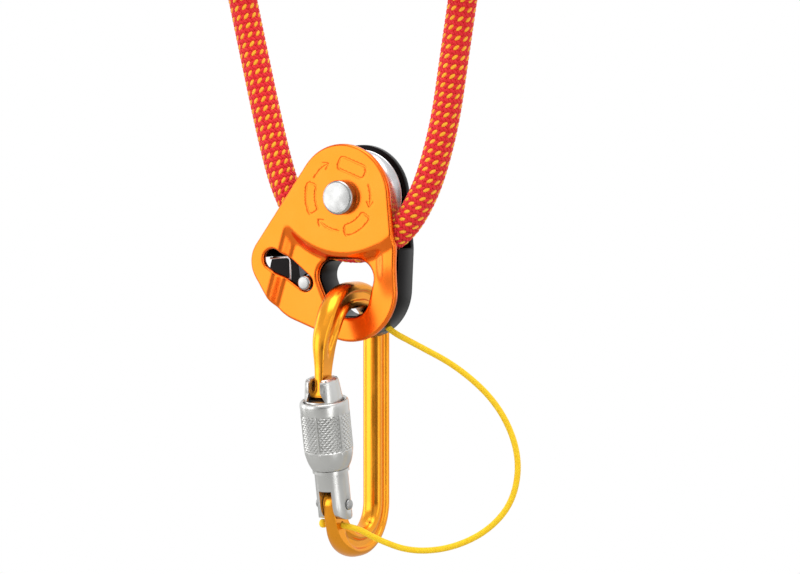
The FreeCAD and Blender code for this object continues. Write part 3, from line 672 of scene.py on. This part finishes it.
# Points along a belt round circles (x, z, r), anticlockwise and about step millimetres apart.
def beltLoop(circles, grow, step):
    count, normals, loop = len(circles), [], []
    for i, (x, z, r) in enumerate(circles):
        nx, nz, nr = circles[(i + 1) % count]
        normals.append(atan2(nz - z, nx - x) - acos((r - nr) / hypot(nx - x, nz - z)))
    for i, (x, z, r) in enumerate(circles):
        start, end = normals[i - 1], normals[i]
        while end < start:
            end += 2 * pi
        bits = max(2, round((end - start) * (r + grow) / step))
        loop += [(x + (r + grow) * cos(start + (end - start) * k / bits),
                  z + (r + grow) * sin(start + (end - start) * k / bits)) for k in range(bits + 1)]
        nx, nz, nr = circles[(i + 1) % count]
        far = (nx + (nr + grow) * cos(end), nz + (nr + grow) * sin(end))
        near = loop[-1]
        bits = max(1, round(hypot(far[0] - near[0], far[1] - near[1]) / step))
        loop += [(near[0] + (far[0] - near[0]) * k / bits, near[1] + (far[1] - near[1]) * k / bits)
                 for k in range(1, bits)]
    return np.array(loop)


# The shortest distance from each point to any of the segments.
def segmentDistance(points, starts, ends):
    best = np.full(len(points), 1e9)
    for a, b in zip(starts, ends):
        d = b - a
        t = np.clip(((points - a) @ d) / max(d @ d, 1e-12), 0, 1)
        best = np.minimum(best, np.hypot(*(points - a - t[:, None] * d).T))
    return best


def insideLoop(points, loop):  # the loop is convex and anticlockwise
    inside = np.ones(len(points), bool)
    for a, b in zip(loop, np.roll(loop, -1, 0)):
        d = b - a
        if d @ d > 1e-9:
            inside &= d[0] * (points[:, 1] - a[1]) - d[1] * (points[:, 0] - a[0]) > -1e-6
    return inside


# Points of the plate's metal: in its outline and in neither opening.
def onPlate(points, loops):
    return (insideLoop(points, loops["outline"]) & ~insideLoop(points, loops["eye"])
            & ~insideLoop(points, loops["slot"]))


def easeStep(t):
    t = np.clip(t, 0, 1)
    return t * t * t * (t * (6 * t - 15) + 10)


def softMin(a, b, k):
    h = np.clip(0.5 + 0.5 * (b - a) / k, 0, 1)
    return b * (1 - h) + a * h - k * h * (1 - h)


sidePlate = {
    "outline": [(0, 0, 20.5), (-30, -25.5, 11.3), (-18.6, -31.2, 17.8), (0.8, -34.9, 20.8), (1.6, -20, 20.7)],
    "eye": [(-6.6, -30.7, 6.6), (-1.5, -38.2, 8.2), (1.4, -38.0, 8.2), (4.5, -31.0, 6.9)],
    "slot": [(-31.5, -24.5, 4.0), (-18.7, -33.5, 3.2)],
    "face": -9.0, "step": 3.6, "thick": 2.4, "bendZ": 12.0, "stepRadius": 33.65, "soften": 1.1,
    "creaseTop": (-25.4, -12.0), "creaseFoot": (-34.0, -40.0), "ridge": 11.6, "ridgeWide": 7.2, "ridgeShare": 0.58,
    "ropeRadius": 32.0, "ropeRelief": 6.4, "rims": {"outline": 1.0, "eye": 1.5, "slot": 0.8}, "backRim": 0.35,
    "markCentre": (-0.6, 0.4), "markRadius": 13.4, "markHalf": 0.3, "markDepth": 0.18, "grid": 0.7,
    "arcWindows": [(49, 184.5), (50, 303.5)], "windowTall": 4.2, "windowCorner": 1.2,
    "arrows": [(150, 113), (21, -17), (266, 223)], "arrowHead": (1.9, 1.25), "markStep": 0.35,
    "blank": {"middle": (4.6, 11.4), "size": (12.4, 5.0, 1.7), "lean": -20},
}


# A closed outline round the origin.
def roundedBox(width, height, corner):
    points = []
    for cx, cz, start in ((1, 1, 0), (-1, 1, 90), (-1, -1, 180), (1, -1, 270)):
        for k in range(7):
            turn = radians(start + 15 * k)
            points.append((cx * (width / 2 - corner) + corner * cos(turn),
                           cz * (height / 2 - corner) + corner * sin(turn)))
    dense = []
    for a, b in zip(points, points[1:] + points[:1]):
        bits = max(1, round(hypot(b[0] - a[0], b[1] - a[1]) / sidePlate["markStep"]))
        dense += [(a[0] + (b[0] - a[0]) * k / bits, a[1] + (b[1] - a[1]) * k / bits) for k in range(bits)]
    return dense + dense[:1]


# The plate's engraved lines: two arc windows, one blank window and three turning arrows.
def plateMarks():
    p = sidePlate
    cx, cz = p["markCentre"]
    ringRadius = p["markRadius"]

    def onRing(points, middle):
        turned = [(radians(middle) + u / ringRadius, ringRadius + v) for u, v in points]
        return [(cx + r * cos(t), cz + r * sin(t)) for t, r in turned]

    marks = [onRing(roundedBox(radians(span) * ringRadius, p["windowTall"], p["windowCorner"]), middle)
             for span, middle in p["arcWindows"]]
    lean, (bx, bz) = radians(p["blank"]["lean"]), p["blank"]["middle"]
    marks.append([(bx + u * cos(lean) - v * sin(lean), bz + u * sin(lean) + v * cos(lean))
                  for u, v in roundedBox(*p["blank"]["size"])])
    headLong, headHalf = p["arrowHead"]
    for tail, tip in p["arrows"]:
        span, middle = radians(tail - tip) * ringRadius, (tail + tip) / 2
        bits = round(span / p["markStep"])
        marks.append(onRing([(span / 2 - span * k / bits, 0) for k in range(bits + 1)], middle))
        for side in (-1, 1):
            barb = [(-span / 2 + headLong * k / 6, side * headHalf * k / 6) for k in range(7)]
            marks.append(onRing(barb, middle))
    return [np.array(mark) for mark in marks]


def frontPlate():
    p = sidePlate
    loops = {name: beltLoop(p[name], 0, 0.5) for name in ("outline", "eye", "slot")}  # flat, as (x, z)
    marks = plateMarks()
    markStarts = np.concatenate([m[:-1] for m in marks])
    markEnds = np.concatenate([m[1:] for m in marks])
    points, edges = [], []
    for name, loop in loops.items():
        base = len(points)
        points += list(loop)
        edges += [(base + k, base + (k + 1) % len(loop)) for k in range(len(loop))]
    border = len(points)
    for name in loops:  # rows along each rim, close where the edge curves over
        rim, side = p["rims"][name], -1 if name == "outline" else 1
        inset = [rim * (1 - cos(radians(t))) for t in (12, 24, 36, 48, 60, 75, 90)] + [rim + 0.45]
        for reach in inset:
            points += list(beltLoop(p[name], side * reach, 0.55))
    rimPoints = np.array(points[border:])
    points = points[:border] + list(rimPoints[onPlate(rimPoints, loops)])
    for mark in marks:
        along = np.diff(mark, axis=0)
        along = np.vstack([along, along[-1:]])
        across = np.stack([-along[:, 1], along[:, 0]], 1) / np.hypot(*along.T)[:, None]
        for side in (-1, 0, 1):
            points += list(mark + side * p["markHalf"] * across)
    xs, zs = np.arange(-44, 26, p["grid"]), np.arange(-59, 23, p["grid"] * 0.866)
    grid = np.array([(x + (k % 2) * p["grid"] / 2, z) for k, z in enumerate(zs) for x in xs])
    grid = grid[onPlate(grid, loops)]
    for name, loop in loops.items():
        grid = grid[segmentDistance(grid, loop, np.roll(loop, -1, 0)) > p["rims"][name] + 0.85]
    grid = grid[segmentDistance(grid, markStarts, markEnds) > p["markHalf"] + 0.3]
    points += list(grid)
    flat, _, triangles, *_ = delaunay_2d_cdt([Vector(q) for q in points], edges, [], 0, 1e-4)
    flat = np.array([tuple(q) for q in flat])
    triangles = np.array([tuple(t) for t in triangles])
    triangles = triangles[onPlate(flat[triangles].mean(1), loops)]
    x, z = flat[:, 0], flat[:, 1]
    # the lower half steps back past an arc and a straight crease; the right side keeps part of its height
    top, foot = np.array(p["creaseTop"]), np.array(p["creaseFoot"])
    along = (foot - top) / np.hypot(*(foot - top))
    ringOut = np.hypot(x, z - p["bendZ"]) - p["stepRadius"]
    creaseOut = (x - top[0]) * -along[1] + (z - top[1]) * along[0]
    outward = softMin(ringOut, creaseOut, 3.0)
    recess = p["step"] * easeStep((outward + p["soften"]) / (p["step"] + 2 * p["soften"]))
    recess *= 1 - p["ridgeShare"] * easeStep((x - p["ridge"]) / p["ridgeWide"]) * easeStep((z + 42) / 20)
    front = p["face"] + recess
    back = front + p["thick"]
    # the back is hollowed where the rope passes
    tube = p["ropeRelief"] ** 2 - (np.hypot(x, z - p["bendZ"]) - p["ropeRadius"]) ** 2
    back = np.where(tube > 0, np.minimum(back, -np.sqrt(np.maximum(tube, 0))), back)
    for name, loop in loops.items():
        away = segmentDistance(flat, loop, np.roll(loop, -1, 0))
        for rim, surface, sign in ((p["rims"][name], front, 1), (p["backRim"], back, -1)):
            drop = rim - np.sqrt(np.maximum(rim**2 - np.maximum(rim - away, 0) ** 2, 0))
            surface += sign * drop
    front += p["markDepth"] * np.clip(1 - segmentDistance(flat, markStarts, markEnds) / p["markHalf"], 0, 1)
    used, renamed = np.unique(triangles, return_inverse=True)
    renamed = renamed.reshape(triangles.shape)
    frontPoints = np.stack([x[used], front[used], z[used]], 1) / 1000
    backPoints = np.stack([x[used], back[used], z[used]], 1) / 1000
    a, b, c = (frontPoints[renamed[:, k]] for k in range(3))
    turned = np.cross(b - a, c - a)[:, 1] > 0
    renamed[turned] = renamed[turned][:, ::-1]
    count = len(used)
    faces = [tuple(t) for t in renamed] + [tuple(t[::-1] + count) for t in renamed]
    sides = {}
    for t in renamed:
        for k in range(3):
            sides[(t[k], t[(k + 1) % 3])] = True
    faces += [(b, a, a + count, b + count) for a, b in sides if (b, a) not in sides]
    piece = meshObject("frontSidePlate", np.vstack([frontPoints, backPoints]), faces)
    piece.data.materials.append(orangeAnodised)
    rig.replaces(piece, "front_side_plate")
    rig.slot(piece, "orange_plate")
    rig.ride(piece, "front_plate")


frontPlate()

print("softened metal parts")


# A copy of a CAD part with its edges rounded, width in millimetres. shape changes the bare mesh first.
def softCopy(node, name, width, body, slotName, material, shape=None):
    mesh = nodes[node].data.copy()
    work = bmesh.new()
    work.from_mesh(mesh)
    bmesh.ops.remove_doubles(work, verts=work.verts, dist=1e-6)
    bmesh.ops.dissolve_limit(work, angle_limit=radians(0.6), verts=work.verts, edges=work.edges)
    if shape:
        shape(work)
    work.to_mesh(mesh)
    work.free()
    mesh.materials.clear()
    carrier = addObject(name + "Cut", mesh)
    bevel = carrier.modifiers.new("edges", "BEVEL")
    bevel.width, bevel.segments, bevel.use_clamp_overlap = mm(width), 2, True
    bevel.limit_method, bevel.angle_limit = "ANGLE", radians(38)
    done = plainMesh(carrier)
    bpy.data.objects.remove(carrier)
    done.polygons.foreach_set("use_smooth", [True] * len(done.polygons))
    done.set_sharp_from_angle(angle=radians(50))
    piece = addObject(name, done)
    piece.data.materials.append(material)
    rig.replaces(piece, node)
    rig.slot(piece, slotName)
    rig.ride(piece, body)


softCopy("rear_body", "rearBody", 0.7, "root", "black_body", blackAnodised)
softCopy("axle", "sheaveAxle", 0.35, "root", "axle_steel", turnedSteel)
softCopy("sheave", "sheaveWheel", 0.3, "sheave_wheel", "bare_aluminium", brightTurned)
softCopy("cam_axle", "camAxle", 0.25, "root", "axle_steel", turnedSteel)
softCopy("gate_rivet", "gateRivet", 0.2, "carabiner", "axle_steel", turnedSteel)
softCopy("keeper_knot", "keeperKnot", 0.6, "carabiner", "yellow_cord", keeperYarn)

print("carabiner")

carabiner = {
    "x": -0.6, "hinge": (-13.7, -117.3), "tip": (-22.8, -70.0), "noseBase": 42.4, "barWidth": 7.9, "barDepth": 10.4,
    "neckWidth": 3.5, "neckDepth": 7.6, "headWidth": 7.2, "tongueWidth": 5.0, "tongueDepth": 9.6,
    "flat": 0.58, "grooveWidth": 4.6, "grooveDepth": 1.3,
    "corners": [(-21.9, -66.5), (-21.0, -53.6), (-12.5, -38.0), (18.2, -38.0), (18.2, -134.2), (-7.8, -134.2)],
    "radii": [18.0, 16.5, 16.0, 15.0, 13.5], "step": 0.8, "hingeRun": 6.1,
    "holes": [(1.3, 8.3), (1.65, 0)],  # keeper cord, then gate rivet: radius, distance below the hinge
    # where each change starts, from the nose or from the tail, and how long it takes; minus: it ends there
    "fromNose": {"head": (3.2, -2.4), "swell": (6, 27), "deepen": (8, 14), "groove": (15, 5), "widen": (15, 9)},
    "fromTail": {"tongue": (25, -14), "tongueDeep": (17, -6), "groove": (15, 7), "widen": (15, 10)},
}
gateLean = atan2(carabiner["hinge"][0] - carabiner["tip"][0], carabiner["tip"][1] - carabiner["hinge"][1])
gateUp = Vector((0, -sin(gateLean), cos(gateLean)))
hingePoint = Vector((carabiner["x"], *carabiner["hinge"]))


# Places a mesh modelled upright at the origin, in millimetres, on the gate's axis in metres.
def gateFrame():
    turn = Matrix.Rotation(gateLean, 4, "X")
    return Matrix.Scale(0.001, 4) @ Matrix.Translation(hingePoint) @ turn


# Straight runs joined by arcs, as evenly spaced points with their directions.
def arcLine(points, radiusList, step):
    samples, last = [], points[0]
    for i in range(1, len(points) - 1):
        here = points[i]
        back, ahead = (points[i - 1] - here).normalized(), (points[i + 1] - here).normalized()
        half = (pi - back.angle(ahead)) / 2
        radius = radiusList[i - 1]
        trim = radius * tan(half)
        start = here + back * trim
        bits = max(1, round((start - last).length / step))
        samples += [(last.lerp(start, k / bits), -back) for k in range(bits)]
        inward = (back + ahead).normalized()
        centre = here + inward * (radius / cos(half))
        axis = back.cross(ahead).normalized()
        bits = max(4, round(2 * half * radius / step))
        for k in range(bits):
            turn = Matrix.Rotation(-2 * half * k / bits, 3, axis)
            samples.append((centre + turn @ (start - centre), turn @ -back))
        last = here + ahead * trim
    way = (points[-1] - last).normalized()
    bits = max(1, round((points[-1] - last).length / step))
    return samples + [(last.lerp(points[-1], k / bits), way) for k in range(bits + 1)]


def ease(t):
    t = min(1, max(0, t))
    return t * t * (3 - 2 * t)


# A bar with two rounded faces and grooved sides, as points (across the plane, in the plane).
def barSection(width, depth, groove, grooveWidth, flatShare):
    flat = flatShare * depth / 2
    quarter = []
    for k in range(11):
        v = flat * k / 10
        quarter.append((width / 2 - groove * ease((grooveWidth / 2 - v) / 1.1), v))
    for k in range(1, 13):
        turn = radians(90 * k / 12)
        quarter.append((width / 2 * cos(turn), flat + (depth / 2 - flat) * sin(turn)))
    half = quarter + [(-u, v) for u, v in reversed(quarter[:-1])]
    return half + [(u, -v) for u, v in reversed(half[1:-1])]


def carabinerFrame():
    c = carabiner
    low = hingePoint - gateUp * c["hingeRun"]
    corners = [Vector((c["x"], y, z)) for y, z in c["corners"]] + [low]
    samples = arcLine(corners, c["radii"], c["step"])
    nose = hingePoint + gateUp * c["noseBase"]
    start = samples[0][0]
    lead = [(nose.lerp(start, k / 26), (start - nose).normalized()) for k in range(26)]
    rounding = c["tongueDepth"] / 2
    lifts = [0.8 * k for k in range(1, 8)]
    lifts += [c["hingeRun"] + rounding * sin(radians(a)) for a in (0, 12, 24, 36, 48, 60, 70, 78, 84, 88)]
    tail = [(low + gateUp * lift, gateUp) for lift in lifts]
    rows = lead + samples + tail
    run, total = [0.0], 0.0
    for (a, _), (b, _) in zip(rows, rows[1:]):
        total += (b - a).length
        run.append(total)
    points, faces = [], []
    for index, ((place, way), s) in enumerate(zip(rows, run)):
        left = total - s
        near = {name: ease((s - begin) / length) for name, (begin, length) in c["fromNose"].items()}
        far = {name: ease((left - begin) / length) for name, (begin, length) in c["fromTail"].items()}
        width = c["neckWidth"] + (c["headWidth"] - c["neckWidth"]) * near["head"]
        width += (c["barWidth"] - c["neckWidth"]) * near["swell"]
        width += (c["tongueWidth"] - width) * far["tongue"]
        depth = c["neckDepth"] + (c["barDepth"] - c["neckDepth"]) * near["deepen"]
        depth += (c["tongueDepth"] - depth) * far["tongueDeep"]
        groove = c["grooveDepth"] * near["groove"] * far["groove"]
        grooveWidth = c["grooveWidth"] * (0.5 + 0.5 * near["widen"]) * (0.4 + 0.6 * far["widen"])
        flatShare = c["flat"] + 0.28 * max(far["tongue"], 1 - near["swell"])
        if left < rounding:
            depth *= max(0.04, (1 - (1 - left / rounding) ** 2) ** 0.5)
        if s < 0.5:
            width, depth = width - 0.8 * (0.5 - s), depth - 0.8 * (0.5 - s)
        across = Vector((0, way.z, -way.y))
        ring = barSection(width, depth, groove, grooveWidth, flatShare)
        points += [mm(*(place + Vector((u, 0, 0)) + across * v)) for u, v in ring]
        size = len(ring)
        if index:
            base = (index - 1) * size
            faces += [(base + k, base + (k + 1) % size, base + size + (k + 1) % size, base + size + k)
                      for k in range(size)]
    faces += [tuple(range(size - 1, -1, -1)), tuple(range(len(points) - size, len(points)))]
    blank = meshObject("carabinerBlank", points, faces)
    work = bmesh.new()
    work.from_mesh(blank.data)
    bmesh.ops.recalc_face_normals(work, faces=work.faces)
    work.to_mesh(blank.data)
    work.free()
    for radius, drop in c["holes"]:
        drill = bmesh.new()
        bmesh.ops.create_cone(drill, cap_ends=True, segments=32, radius1=radius, radius2=radius, depth=20)
        tool = bpy.data.meshes.new("drill")
        drill.to_mesh(tool)
        drill.free()
        tool.transform(gateFrame() @ Matrix.Translation((0, 0, -drop)) @ Matrix.Rotation(pi / 2, 4, "Y"))
        cutter = addObject("drill", tool)
        hole = blank.modifiers.new("hole", "BOOLEAN")
        hole.operation, hole.object, hole.solver = "DIFFERENCE", cutter, "EXACT"
        done = plainMesh(blank)
        blank.modifiers.clear()
        blank.data = done
        bpy.data.objects.remove(cutter)
    blank.name = "carabinerFrame"
    blank.data.polygons.foreach_set("use_smooth", [True] * len(blank.data.polygons))
    blank.data.set_sharp_from_angle(angle=radians(42))
    blank.data.materials.append(goldAnodised)
    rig.replaces(blank, "carabiner_frame")
    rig.slot(blank, "gold_carabiner")
    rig.ride(blank, "carabiner")


carabinerFrame()

print("gate and locking sleeve")

prongs = {  # heights up the gate's axis
    "from": 41.0, "middle": 44.5, "radius": 7.45, "coreRadius": 5.3, "walls": (2.55, 4.15), "recess": (41.9, 45.3),
    "tip": [(48.2, 6.55), (48.9, 6.42), (49.4, 6.15), (49.75, 5.75), (50.01, 5.1)],
}


# The gate's top flares a little down to the sleeve and is rounded over. Its recess narrows to the slot.
def widenProngs(work):
    p, fromGate = prongs, gateFrame()
    toGate = fromGate.inverted()
    up = (fromGate.to_3x3() @ Vector((0, 0, 1))).normalized()
    for level in [p["from"] - 1, p["from"], p["middle"]] + [z for z, _ in p["tip"][:-1]]:
        bmesh.ops.bisect_plane(work, geom=work.verts[:] + work.edges[:] + work.faces[:], dist=1e-7,
                               plane_co=fromGate @ Vector((0, 0, level)), plane_no=up)
    heights, radii = zip((p["from"], p["radius"]), *p["tip"])
    slotWall, recessWall = p["walls"]
    for vertex in work.verts:
        here = toGate @ vertex.co
        reach = hypot(here.x, here.y)
        if here.z < p["from"] - 0.01 or reach < p["coreRadius"]:
            continue
        radius = np.interp(here.z, heights, radii)
        if min(abs(abs(here.x) - wall) for wall in p["walls"]) < 0.06:
            if abs(here.x) > 4:
                here.x *= np.interp(here.z, p["recess"], (1, slotWall / recessWall))
            here.y = (1 if here.y > 0 else -1) * max(radius**2 - here.x**2, 0.1) ** 0.5
        else:
            here.x, here.y = here.x * radius / reach, here.y * radius / reach
        vertex.co = fromGate @ here


softCopy("gate_barrel", "gateBarrel", 0.35, "gate", "satin_gate", satinSilver, shape=widenProngs)

# The knurl is coarser than the real one, whose points are too fine to show.
sleeve = {
    "base": 14.3, "length": 27.1, "bore": 7.7, "mouth": 6.72, "collar": 5.2, "knurled": 13.9, "radius": 9.3,
    "ribs": 6, "ribHalf": 0.3, "ribRise": 0.2, "ribRun": 3.0, "knurls": 32, "knurlRise": 0.55, "turned": -82.6,
    "around": 360,
    "tail": [(6.85, 0), (7.35, 0.45), (7.8, 1.3), (8.3, 2.5), (8.72, 3.8), (9.03, 5.2), (9.2, 6.5), (9.28, 7.6)],
}


# Diamond knurl: rows of four-sided points round a cylinder, left plain along the ribs.
def knurlTree(material):
    tree, keys, values = newTree("diamondKnurl", (
        ("Radius", "Float", 9.3), ("Round", "Int", 54), ("Low", "Float", 19.6), ("High", "Float", 35.0),
        ("Rise", "Float", 0.42), ("Ribs", "Int", 6), ("Rib Half", "Float", 0.75)))
    values["index"] = addNode(tree, "GeometryNodeInputIndex").outputs[0]
    addSums(tree, values, (
        ("girth", real, "MULTIPLY", "Radius", 2 * pi),
        ("pitch", real, "DIVIDE", "girth", "Round"),
        ("halfPitch", real, "MULTIPLY", "pitch", 0.5),
        ("tall", real, "SUBTRACT", "High", "Low"),
        ("rowsThatFit", real, "DIVIDE", "tall", "halfPitch"),
        ("rows", real, "FLOOR", "rowsThatFit"),
        ("count", real, "MULTIPLY", "rows", "Round"),
        ("row", whole, "DIVIDE_FLOOR", "index", "Round"),
        ("column", whole, "MODULO", "index", "Round"),
        ("oddRow", whole, "MODULO", "row", 2),
        ("stagger", real, "MULTIPLY", "oddRow", 0.5),
        ("columnPlace", real, "ADD", "column", "stagger"),
        ("turns", real, "MULTIPLY", "columnPlace", 2 * pi),
        ("turn", real, "DIVIDE", "turns", "Round"),
        ("rowMiddle", real, "ADD", "row", 0.5),
        ("lift", real, "MULTIPLY", "rowMiddle", "halfPitch"),
        ("height", real, "ADD", "Low", "lift"),
        ("cosine", real, "COSINE", "turn"),
        ("sine", real, "SINE", "turn"),
        ("sunk", real, "MULTIPLY", "Rise", 0.75),
        ("ground", real, "SUBTRACT", "Radius", "sunk"),
        ("x", real, "MULTIPLY", "cosine", "ground"),
        ("y", real, "MULTIPLY", "sine", "ground"),
        ("ribTurns", real, "MULTIPLY", "turn", "Ribs"),
        ("ribShare", real, "DIVIDE", "ribTurns", 2 * pi),
        ("nearestRib", real, "ROUND", "ribShare"),
        ("shareOff", real, "SUBTRACT", "ribShare", "nearestRib"),
        ("shareAway", real, "ABSOLUTE", "shareOff"),
        ("ribGap", real, "DIVIDE", "girth", "Ribs"),
        ("offRib", real, "MULTIPLY", "shareAway", "ribGap"),
        ("room", real, "MULTIPLY", "pitch", 0.3),
        ("ribEdge", real, "ADD", "Rib Half", "room"),
        ("tipRadius", real, "MULTIPLY", "pitch", 0.06)))
    points = addNode(tree, "GeometryNodePoints", {"Count": values["count"]})
    outward = addNode(tree, "ShaderNodeCombineXYZ", {0: values["cosine"], 1: values["sine"]})
    place = addNode(tree, "ShaderNodeCombineXYZ", {0: values["x"], 1: values["y"], 2: values["height"]})
    placed = addNode(tree, "GeometryNodeSetPosition", {"Geometry": points, "Position": place})
    free = addNode(tree, "FunctionNodeCompare", {0: values["offRib"], 1: values["ribEdge"]}, data_type="FLOAT",
                   operation="GREATER_THAN")
    facing = addNode(tree, "FunctionNodeAxesToRotation", {0: outward, 1: (0, 0, 1)}, primary_axis="Z",
                     secondary_axis="X")
    cone = addNode(tree, "GeometryNodeMeshCone", {
        "Vertices": 4, "Radius Bottom": values["halfPitch"], "Radius Top": values["tipRadius"],
        "Depth": values["Rise"]}, fill_type="NGON")
    copies = addNode(tree, "GeometryNodeInstanceOnPoints", {
        "Points": placed, "Selection": free, "Instance": cone, "Rotation": facing})
    closeTree(tree, values["Geometry"], copies, material)
    return tree, keys


def lockingSleeve():
    p = sleeve
    top = p["base"] + p["length"]
    high = top - p["collar"]
    low = high - p["knurled"]
    ground = p["radius"] - 0.75 * p["knurlRise"]
    profile = [(p["mouth"], p["base"])] + [(r, p["base"] + lift) for r, lift in p["tail"]]
    profile += [(ground, low)] + [(ground, low + (high - low) * k / 12) for k in range(1, 12)]
    profile += [(ground, high), (p["radius"] + 0.1, high + 0.25), (p["radius"] + 0.16, high + 1.6)]
    lip = (p["radius"] + 0.16 - p["bore"]) / 2
    profile += [(p["bore"] + lip + lip * cos(radians(a)), top - 1.5 + 1.5 * sin(radians(a)))
                for a in range(0, 181, 15)]
    profile += [(p["bore"], p["base"] + 3), (p["mouth"], p["base"] + 1.8)]
    around, points, faces = p["around"], [], []
    for r, z in profile:
        for k in range(around):
            turn = 2 * pi * k / around
            share = turn * p["ribs"] / (2 * pi)
            off = abs(share - round(share)) * 2 * pi * p["radius"] / p["ribs"]
            reach = r
            if low - p["ribRun"] - 0.5 < z < high + 0.1 and r > 8:
                rib = ease((p["ribHalf"] + 0.2 - off) / 0.3)
                fade = ease((z - low + p["ribRun"]) / p["ribRun"])
                reach = r + max(p["radius"] + p["ribRise"] - r, p["ribRise"]) * rib * (fade if z < low else 1)
            points.append((reach * cos(turn), reach * sin(turn), z))
    rows = len(profile)
    for row in range(rows):
        a, b = row * around, (row + 1) % rows * around
        faces += [(a + k, a + (k + 1) % around, b + (k + 1) % around, b + k) for k in range(around)]
    body = meshObject("sleeveBody", points, faces)
    body.data.set_sharp_from_angle(angle=radians(38))
    tree, keys = knurlTree(satinSilver)
    modifier = body.modifiers.new("knurl", "NODES")
    modifier.node_group = tree
    for label, value in (("Radius", p["radius"]), ("Round", p["knurls"]), ("Low", low + 0.1), ("High", high - 0.1),
                         ("Rise", p["knurlRise"]), ("Ribs", p["ribs"]), ("Rib Half", p["ribHalf"])):
        modifier[keys[label]] = value
    mesh = plainMesh(body)
    bpy.data.objects.remove(body)
    mesh.transform(gateFrame() @ Matrix.Rotation(radians(p["turned"]), 4, "Z"))
    piece = addObject("lockingSleeve", mesh)
    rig.replaces(piece, "locking_sleeve")
    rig.slot(piece, "satin_sleeve")
    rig.ride(piece, "sleeve")


lockingSleeve()

print("finishes")
for node, material in {
        "axle_washers": turnedSteel, "bearing_inner_ring": groundSteel, "bearing_outer_ring": groundSteel,
        "bearing_balls": groundSteel, "bearing_cage": nylon, "bearing_shields": groundSteel, "cam": camSteel,
        "cam_spring": springSteel, "gate_plunger": groundSteel, "gate_spring": springSteel,
        "sleeve_ring": satinSilver}.items():
    finish(node, material)

json.dump({"cad": [list(v) for v in cadBox], "visual": [list(v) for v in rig.bounds()]},
          open("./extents.json", "w"))
